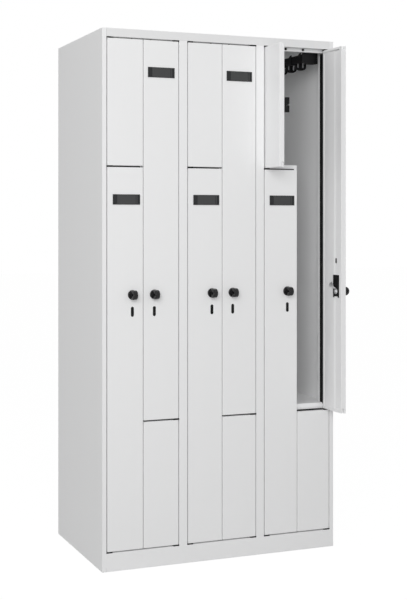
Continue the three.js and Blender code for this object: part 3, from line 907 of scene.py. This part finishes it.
# Each kind of leaf: 1 or -1 for hinges at the left or right, its bottom, its top, and if it locks.
leaf_kinds = {
    "upper_short": (1, upper_split, leaf_top, False),
    "upper_long": (-1, lower_split + split_gap, leaf_top, True),
    "lower_long": (1, leaf_bottom, upper_split - split_gap, True),
    "lower_short": (-1, leaf_bottom, lower_split, False),
}
joints = {joint["name"]: joint for joint in frame["joints"]}


def leaf_place(kind, bay):
    """The matrix from a leaf's own frame to its place at rest: mirrored for a right-hand leaf,
    moved to its pivot axis, and turned by how far it stands open."""
    hand = leaf_kinds[kind][0]
    hinge = joints[f"{kind}_hinge_{bay}"]
    closed = max(hinge["range_deg"]) if hand > 0 else min(hinge["range_deg"])
    pin = hinge["pos_m"]
    turn = Matrix.Rotation(math.radians(-closed), 4, "Z")
    mirror = Matrix.Diagonal((hand, 1, 1, 1))
    return (Matrix.Translation((pin[0], pin[1], 0)) @ turn @ mirror
            @ Matrix.Translation((-pin_inset, -pin_back, 0)))


def hang(name, mesh, finish, kind, bay, replaced=(), bevel=0.0, body=None):
    """Puts a copy of a mesh from a leaf's own frame in its place, on the leaf or its lock."""
    placed = mesh.copy()
    matrix = leaf_place(kind, bay)
    placed.transform(matrix)
    if matrix.determinant() < 0:
        placed.flip_normals()
    dress(name, placed, finish, body or f"{kind}_door_{bay}", replaced, bevel)


for kind, (_, bottom, top, locked) in leaf_kinds.items():
    mesh = leaf_mesh(bottom, top, locked)
    for bay in bays:
        name = f"{kind}_leaf_{bay}"
        hang(name + "_coated", mesh, coated_steel, kind, bay, [name])


# Label holders: a dark moulded tray on each long leaf, with a plain field at its left end. A grey
# card lies beside the field, and its pull tab shows beyond a groove near the right end.
label_size = (0.0995, 0.035)
label_thick = 0.002
label_rim = 0.0012
label_recess = 0.0007
label_drop = 0.1104
label_shift = {"upper": 0, "lower": 0.0037}
card_span = (0.016, 0.0838)
card_tab_span = (0.0857, 0.0902)
card_edge = 0.0001
fit_gap = 0.0003
label_colours = ((0.021, 0.022, 0.023), (0.027, 0.028, 0.029))
label_roughness = (0.40, 0.50)
card_colours = ((0.058, 0.059, 0.060), (0.066, 0.067, 0.068))
card_roughness = (0.50, 0.60)
label_gloss = 0.22
label_grey = moulded("label_moulding", "label_grey", label_colours, label_roughness, label_gloss)
card_grey = moulded("label_card", "label_grey", card_colours, card_roughness, label_gloss)


def across_label(hand, middle, start, end):
    """Two distances from the label's left end, seen from in front, as places along the leaf: its
    middle plus or minus each distance less half the label."""
    return [middle + hand * (distance - label_size[0] / 2) for distance in (start, end)]


for level, shift in label_shift.items():
    kind = level + "_long"
    hand, _, top, _ = leaf_kinds[kind]
    u = leaf_width / 2 + shift
    low, high = about(top - label_drop, label_size[1] / 2)
    inside = (low + label_rim, high - label_rim)
    face = -fit_gap - label_thick
    tray = face + label_recess
    whole = across_label(hand, u, 0, label_size[0])
    field = across_label(hand, u, 0, card_span[0])
    right_end = across_label(hand, u, card_tab_span[1], label_size[0])
    holder = [
        rounded_block(whole, (tray, -fit_gap), (low, high)),
        rounded_block(field, (face + fit_gap, tray + fit_gap), inside, fit_gap),
        rounded_block(right_end, (face, tray + fit_gap), (low, high), fit_gap),
        rounded_block(whole, (face, tray + fit_gap), (low, inside[0]), fit_gap),
        rounded_block(whole, (face, tray + fit_gap), (inside[1], high), fit_gap),
    ]
    card = [rounded_block(across_label(hand, u, *ends), about(tray, fit_gap), inside, card_edge)
            for ends in (card_span, card_tab_span)]
    holder_mesh, card_mesh = mesh_of("label", holder), mesh_of("card", card)
    for bay in bays:
        node = f"label_holder_{level}_{bay}"
        hang(node + "_moulded", holder_mesh, label_grey, kind, bay, [node])
        hang(f"label_card_{level}_{bay}", card_mesh, card_grey, kind, bay)


# Locks: a black case in the window of the inner skin, black liners in both slots, a black twist
# knob on the outer face and a bright zinc-plated cam on the spindle behind the leaf.
case_gap = 0.0007
case_drop = 0.0003
tongue_half = 0.010
tongue_height = 0.0045
liner_drop = 0.0002
liner_brim = 0.0006
liner_proud = 0.0004
liner_edge = 0.0001
knob_colours = ((0.007, 0.007, 0.0075), (0.012, 0.012, 0.013))
knob_roughness = (0.22, 0.32)
knob_gloss = 0.32
knob_axis = (knob_u, knob_height)
knob_radius = 0.0167
knob_base = 0.005
knob_rim = 0.0015
knob_sides = 48
knob_reach = 0.0352
wing_half = 0.0081
wing_radius = 0.0157
wing_edge = 0.0018
wing_steps = 16
grip_out = 0.022
grip_size = (0.0075, 0.014)
grip_depth = 0.004
cam_low, cam_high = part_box("cam_lower_1")
cam_seat = cam_low.y - front
cam_back = cam_high.y - front
cam_thick = 0.002
cam_front = cam_back - cam_thick
cam_reach = 0.038
cam_shoulder = 0.0025
cam_band = 0.009
cam_arm = 0.010
cam_hub = 0.010
cam_hub_edge = 0.0005
cam_hub_sides = 32
cam_crank = 0.008
cam_root = math.radians(115)
cam_tip = math.radians(145)
cam_steps = 8
cam_screw = 0.005
cam_screw_head = 0.002
cam_screw_edge = 0.001
cam_edge = 0.0003
zinc_colours = ((0.74, 0.75, 0.76), (0.92, 0.925, 0.93))
zinc_roughness = (0.34, 0.50)
zinc_bloom = (220, 3.0)
zinc_marks = (2500, 1.0)
zinc_mark_stretch = (1, 1, 0.05)
zinc_mark_depth = 0.00001

knob_black = moulded("knob_moulding", "black_plastic", knob_colours, knob_roughness, knob_gloss)


def zinc_plated(name, slot):
    """Zinc-plated steel: bright metal with a cloudy bloom and fine rolling marks."""
    finish = Finish(name, slot, {"Metallic": 1.0})
    finish.vary(finish.noise(*zinc_bloom), zinc_colours, zinc_roughness)
    inputs = {"Vector": finish.place, "Scale": zinc_mark_stretch}
    along_sheet = finish.node("ShaderNodeMapping", None, inputs)
    finish.relief((finish.noise(*zinc_marks, along_sheet), zinc_mark_depth))
    return finish


zinc_steel = zinc_plated("zinc_plate", "zinc_steel")


def knob_wing():
    """The upright wing: from the side a block that ends in a half circle, with all edges rounded
    and a shallow grip with round ends in each side."""
    root = -fit_gap - knob_base + knob_rim
    nose = (wing_radius - knob_reach, knob_height)
    outline = [(root, knob_height - wing_radius), (root, knob_height + wing_radius),
               *arc_points(nose, wing_radius, np.pi / 2, 3 * np.pi / 2, wing_steps)]
    body = prism(outline, about(knob_u, wing_half), "across")
    grip = stadium(knob_height, -grip_out, *grip_size)[:, ::-1]
    ends = (wing_half - grip_depth, wing_half + cut_overrun)
    grips = [prism(grip, [knob_u + side * end for end in ends], "across") for side in (-1, 1)]
    return cut(mesh_of("knob_wing", [body]), grips, wing_edge)


def cam_mesh():
    """Hub, screw head, cranked arm and sickle hook of the cam.

    The sickle is a band between two arcs about the hub. The arm's side view is drawn outwards
    along the leaf and then turned about the hub to where the sickle starts.
    """
    sickle = np.vstack([arc_points(knob_axis, cam_reach, cam_root, cam_tip, cam_steps),
                        arc_points(knob_axis, cam_reach - cam_band, cam_tip, cam_root, cam_steps)])
    front_line = np.array([(0, cam_seat), (cam_hub, cam_seat), (cam_hub + cam_crank, cam_front),
                           (cam_reach - cam_shoulder, cam_front)])
    side_view = np.vstack([front_line, front_line[::-1] + (0, cam_thick)])
    points, faces = prism(side_view, about(0, cam_arm / 2), "upright")
    along, depth, beside = points.T
    arm = np.stack([knob_u + along * math.cos(cam_root) - beside * math.sin(cam_root), depth,
                    knob_height + along * math.sin(cam_root) + beside * math.cos(cam_root)], 1)
    return mesh_of("cam", [
        prism(sickle, (cam_front, cam_back), "backwards"),
        (arm, faces),
        turned(domed(cam_hub, cam_seat, cam_thick, cam_hub_edge), knob_axis, cam_hub_sides),
        turned(domed(cam_screw, cam_seat + cam_thick, cam_screw_head, cam_screw_edge), knob_axis),
    ])


case = rounded_block(about(knob_u, window_half - case_gap),
                     (leaf_thickness - window_pocket, skin - case_drop),
                     (window_low + case_gap, window_high - case_gap))
tongue = plate(about(knob_u, tongue_half), (skin - sheet, skin + case_drop),
               (window_low - case_gap, window_low + tongue_height))
brim = stadium(knob_u, outer_slot_height, slot_width + 2 * liner_brim, outer_slot_length + 2 * liner_brim)
liners = [
    prism(brim, (-liner_proud, -liner_drop / 2), "backwards"),
    prism(outer_slot, (-liner_drop, slot_cut), "backwards"),
    prism(inner_slot, (skin - slot_cut, skin - liner_drop), "backwards"),
]
lock_pieces = {
    "lock_case": (mesh_of("case", [case]), black_plastic, 0.0),
    "lock_tongue": (mesh_of("tongue", [tongue]), coated_steel, sheet_edge),
    "slot_liners": (mesh_of("liners", liners), black_plastic, liner_edge),
}
disc_profile = domed(knob_radius, -fit_gap, -knob_base, knob_rim)
disc = mesh_of("knob_base", [turned(disc_profile, knob_axis, knob_sides)])
wing, cam = knob_wing(), cam_mesh()
for level in ("upper", "lower"):
    kind = level + "_long"
    for bay in bays:
        lock = f"{level}_lock_{bay}"
        for name, (mesh, finish, bevel) in lock_pieces.items():
            hang(f"{name}_{level}_{bay}", mesh, finish, kind, bay, (), bevel)
        hang(f"knob_base_{level}_{bay}", disc, knob_black, kind, bay, [f"knob_{level}_{bay}"], body=lock)
        hang(f"knob_wing_{level}_{bay}", wing, knob_black, kind, bay, body=lock)
        hang(f"cam_{level}_{bay}_zinc", cam, zinc_steel, kind, bay, [f"cam_{level}_{bay}"], cam_edge, lock)


# Catches: a black moulding on the free lip of each short leaf, with two jaws and a round nose
# between them that holds the leaf shut.
catch_size = (0.012, 0.052)
catch_base = 0.010
catch_reach = 0.021
catch_waist = 0.006
catch_inset = 0.003
catch_nose = 0.002
catch_nose_edge = 0.0005

for level in ("upper", "lower"):
    kind = level + "_short"
    _, bottom, top, _ = leaf_kinds[kind]
    middle = (bottom + top) / 2
    low, high = about(middle, catch_size[1] / 2)
    u = (leaf_width - catch_inset - catch_size[0], leaf_width - catch_inset)
    base = leaf_thickness + fit_gap
    jaw = (base + catch_base - sheet, leaf_thickness + catch_reach)
    nose = domed(catch_nose, jaw[0], jaw[1] - jaw[0], catch_nose_edge)
    catch = mesh_of("catch", [
        rounded_block(u, (base, base + catch_base), (low, high)),
        rounded_block(u, jaw, (low, middle - catch_waist / 2)),
        rounded_block(u, jaw, (middle + catch_waist / 2, high)),
        turned(nose, (sum(u) / 2, middle)),
    ])
    for bay in bays:
        node = f"catch_{level}_{bay}"
        hang(node + "_moulded", catch, black_plastic, kind, bay, [node])


# Hook rails: a coated hanger under each ceiling and a black rail below it, which carries a shield
# in front and three black double hooks behind it, like small anchors.
hook_count = 3
hook_pitch = 0.070
hook_start = 0.091
rail_half = 0.007
rail_top_drop = 0.0375
rail_low_drop = 0.065
shield_front = 0.036
shield_thick = 0.004
shield_half = 0.0325
shield_top_drop = 0.030
shield_side_drop = 0.0775
shield_middle_drop = 0.082
shield_crown = 0.0025
shield_steps = (16, 8)
clip_half = 0.0085
clip_depth = 0.021
clip_crown = 0.0085
clip_top_drop = 0.0305
clip_low_drop = 0.068
hook_thick = 0.008
hook_half = 0.0225
hook_tip_drop = 0.070
hook_bow_drop = 0.0815
hook_bow = 0.0135
hook_bow_steps = 24
hook_gap_radius = 0.0043
hook_gap_steps = 8
hook_stem_half = 0.006
hook_edge = 0.0008


def shield(x, ceiling):
    """The shield as a box grid: its lower edge is a parabola, and its front a second one that
    draws both sides back by the crown."""
    across, upwards = shield_steps
    points, faces = box_grid(np.linspace(-1, 1, across + 1), np.linspace(0, 1, 2),
                             np.linspace(0, 1, upwards + 1))
    side, depth, rise = points.T
    low = -shield_middle_drop + (shield_middle_drop - shield_side_drop) * side ** 2
    face = front + shield_front + shield_crown * side ** 2 * (1 - depth)
    height = ceiling + low + (-shield_top_drop - low) * rise
    return np.stack([x + shield_half * side, face + shield_thick * depth, height], 1), faces


def anchor(x, ceiling):
    """A double hook in outline: half an ellipse below, a tip at each side, and beside the stem a
    gap that ends in a half circle."""
    tip, bow, root = ceiling - hook_tip_drop, ceiling - hook_bow_drop, ceiling - rail_low_drop
    middle = hook_stem_half + hook_gap_radius
    gap = arc_points((0, bow), hook_gap_radius, 2 * np.pi, np.pi, hook_gap_steps)
    return np.vstack([
        (x - hook_half, tip),
        arc_points((x, bow), (hook_half, hook_bow), np.pi, 2 * np.pi, hook_bow_steps),
        (x + hook_half, tip),
        (x + middle + hook_gap_radius, tip),
        gap + (x + middle, 0),
        (x + hook_stem_half, root),
        (x - hook_stem_half, root),
        gap + (x - middle, 0),
        (x - middle - hook_gap_radius, tip),
    ])


for bay in map(Bay, bays):
    columns = {"upper": ((bay.seam + sheet / 2 + bay.right_wall) / 2, top_inside),
               "lower": ((bay.left_wall + bay.seam - sheet / 2) / 2, shelf_top - sheet)}
    hook_faces = [front + hook_start + index * hook_pitch for index in range(hook_count)]
    rail_run = (front + shield_front + shield_thick / 2, hook_faces[-1] + clip_depth)
    for level, (x, ceiling) in columns.items():
        node = f"hook_rail_{level}_{bay.number}"
        wide = about(x, rail_half)
        rail_top = ceiling - rail_top_drop
        clip_low, clip_top = ceiling - clip_low_drop, ceiling - clip_top_drop
        shells = [rounded_block(wide, rail_run, (ceiling - rail_low_drop, rail_top))]
        for face in hook_faces:
            back = face + clip_depth
            side_view = [(face, clip_low), (back, clip_low), (back, rail_top),
                         (face + clip_crown, clip_top), (face, clip_top)]
            shells += [prism(side_view, about(x, clip_half), "across"),
                       prism(anchor(x, ceiling), (back - hook_thick, back), "backwards")]
        hanger = plate(wide, rail_run, (rail_top, ceiling))
        dress(node + "_hooks", mesh_of("hooks", shells), black_plastic, "carcass", [node], hook_edge)
        dress(node + "_shield", mesh_of("shield", [shield(x, ceiling)]), black_plastic, "carcass",
              bevel=hook_edge)
        dress(node + "_hanger", mesh_of("hanger", [hanger]), coated_steel, "carcass", bevel=sheet_edge)
